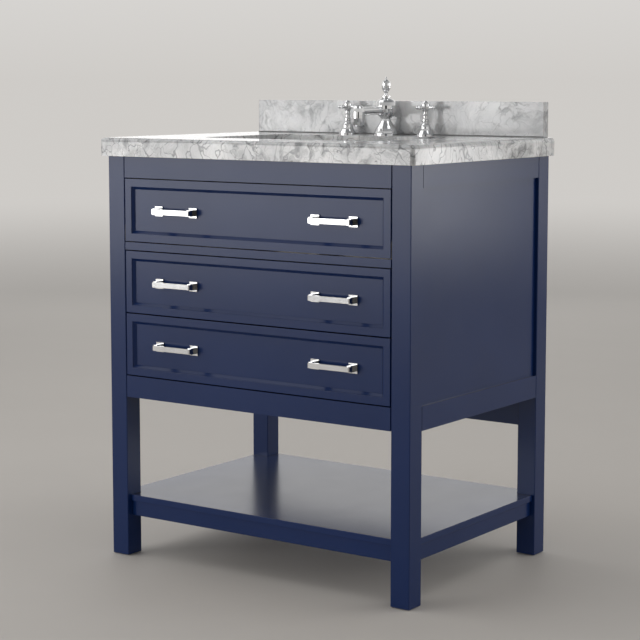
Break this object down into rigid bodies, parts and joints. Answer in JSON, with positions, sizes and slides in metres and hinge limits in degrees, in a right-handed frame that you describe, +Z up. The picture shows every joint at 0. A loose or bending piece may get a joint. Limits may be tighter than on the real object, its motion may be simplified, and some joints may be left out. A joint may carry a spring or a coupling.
{
  "type": "bathroom vanity cabinet",
  "caption": "Free-standing painted vanity on square legs, with drawers, a tip-out tray front, an open shelf, a marble top, an undermount sink and a cross-handle faucet.",
  "frame": {"origin": "on the floor, in the middle of the footprint, halfway between the handles' front and the wall face", "axes": "+X to the right seen from the front, +Y towards the wall, +Z up"},
  "size_m": [0.775, 0.554, 1.014],
  "materials": {
    "navy_paint": "satin navy paint on wood",
    "birch_ply": "clear lacquered birch",
    "marble": "polished white marble with grey veins",
    "porcelain": "white glaze",
    "chrome": "polished",
    "slide_steel": "zinc plated",
    "black_steel": "black oxide",
    "white_plastic": "satin moulded",
    "black_plastic": "matte"
  },
  "bodies": {
    "cabinet": {"front_left_post": "navy_paint", "front_right_post": "navy_paint", "rear_left_post": "navy_paint", "rear_right_post": "navy_paint", "front_top_rail": "navy_paint", "front_middle_rail": "navy_paint", "front_bottom_rail": "navy_paint", "side_top_rails": "navy_paint", "side_bottom_rails": "navy_paint", "side_panels": "navy_paint", "rear_top_rail": "navy_paint", "rear_bottom_rail": "navy_paint", "case_bottom_panel": "birch_ply", "corner_blocks": "birch_ply", "slide_cleats": "birch_ply", "shelf_board": "navy_paint", "shelf_rails": "navy_paint", "leg_glides": "black_plastic", "stone_top": "marble", "stone_backsplash": "marble", "sink_bowl": "porcelain", "sink_clips": "slide_steel", "spout_body": "chrome", "spout_aerator": "slide_steel", "hot_valve_body": "chrome", "cold_valve_body": "chrome", "faucet_nuts": "slide_steel", "crossover_tubes": "slide_steel", "drain_body": "chrome", "drain_tailpiece": "chrome", "trap_bend": "white_plastic", "trap_arm": "chrome", "trap_nuts": "white_plastic", "slide_outer_members": "slide_steel", "tip_out_hinge_pins": "black_steel"},
    "hot_tap": {"hot_handle": "chrome"},
    "cold_tap": {"cold_handle": "chrome"},
    "lift_linkage": {"lift_rod": "chrome", "clevis_strap": "slide_steel"},
    "drain_lever": {"pivot_rod": "slide_steel"},
    "drain_stopper": {"stopper": "chrome"},
    "tip_out_front": {"tip_out_frame": "navy_paint", "tip_out_panel": "navy_paint", "tip_out_tray": "white_plastic", "tip_out_handles": "chrome", "tip_out_hinge_leaves": "black_steel"},
    "middle_drawer": {"middle_drawer_frame": "navy_paint", "middle_drawer_panel": "navy_paint", "middle_drawer_box": "birch_ply", "middle_drawer_bottom": "birch_ply", "middle_drawer_handles": "chrome", "middle_drawer_slides": "slide_steel"},
    "middle_carriers": {"middle_slide_carriers": "slide_steel"},
    "lower_drawer": {"lower_drawer_frame": "navy_paint", "lower_drawer_panel": "navy_paint", "lower_drawer_box": "birch_ply", "lower_drawer_bottom": "birch_ply", "lower_drawer_handles": "chrome", "lower_drawer_slides": "slide_steel"},
    "lower_carriers": {"lower_slide_carriers": "slide_steel"}
  },
  "joints": [
    {"name": "tip_out_hinge", "type": "hinge", "parent": "cabinet", "child": "tip_out_front", "pos_m": [0, -0.257, 0.67747], "axis": [1, 0, 0], "range_deg": [0, 35]},
    {"name": "middle_drawer_slide", "type": "slide", "parent": "cabinet", "child": "middle_drawer", "axis": [0, -1, 0], "range_m": [0, 0.4]},
    {"name": "middle_carrier_slide", "type": "slide", "parent": "cabinet", "child": "middle_carriers", "axis": [0, -1, 0], "range_m": [0, 0.2]},
    {"name": "lower_drawer_slide", "type": "slide", "parent": "cabinet", "child": "lower_drawer", "axis": [0, -1, 0], "range_m": [0, 0.4]},
    {"name": "lower_carrier_slide", "type": "slide", "parent": "cabinet", "child": "lower_carriers", "axis": [0, -1, 0], "range_m": [0, 0.2]},
    {"name": "hot_handle_turn", "type": "hinge", "parent": "cabinet", "child": "hot_tap", "pos_m": [-0.1016, 0.226, 0.948], "axis": [0, 0, 1], "range_deg": [0, 90]},
    {"name": "cold_handle_turn", "type": "hinge", "parent": "cabinet", "child": "cold_tap", "pos_m": [0.1016, 0.226, 0.948], "axis": [0, 0, 1], "range_deg": [-90, 0]},
    {"name": "lift_rod_slide", "type": "slide", "parent": "cabinet", "child": "lift_linkage", "axis": [0, 0, 1], "range_m": [0, 0.022]},
    {"name": "drain_lever_hinge", "type": "hinge", "parent": "cabinet", "child": "drain_lever", "pos_m": [0, 0.051, 0.665], "axis": [1, 0, 0], "range_deg": [0, 13.3]},
    {"name": "stopper_slide", "type": "slide", "parent": "cabinet", "child": "drain_stopper", "axis": [0, 0, 1], "range_m": [-0.0065, 0]}
  ],
  "couplings": [
    {"joint": "middle_carrier_slide", "follows": "middle_drawer_slide", "ratio": 0.5},
    {"joint": "lower_carrier_slide", "follows": "lower_drawer_slide", "ratio": 0.5},
    {"joint": "drain_lever_hinge", "follows": "lift_rod_slide", "rad_per_m": 10.4},
    {"joint": "stopper_slide", "follows": "lift_rod_slide", "ratio": -0.29}
  ]
}
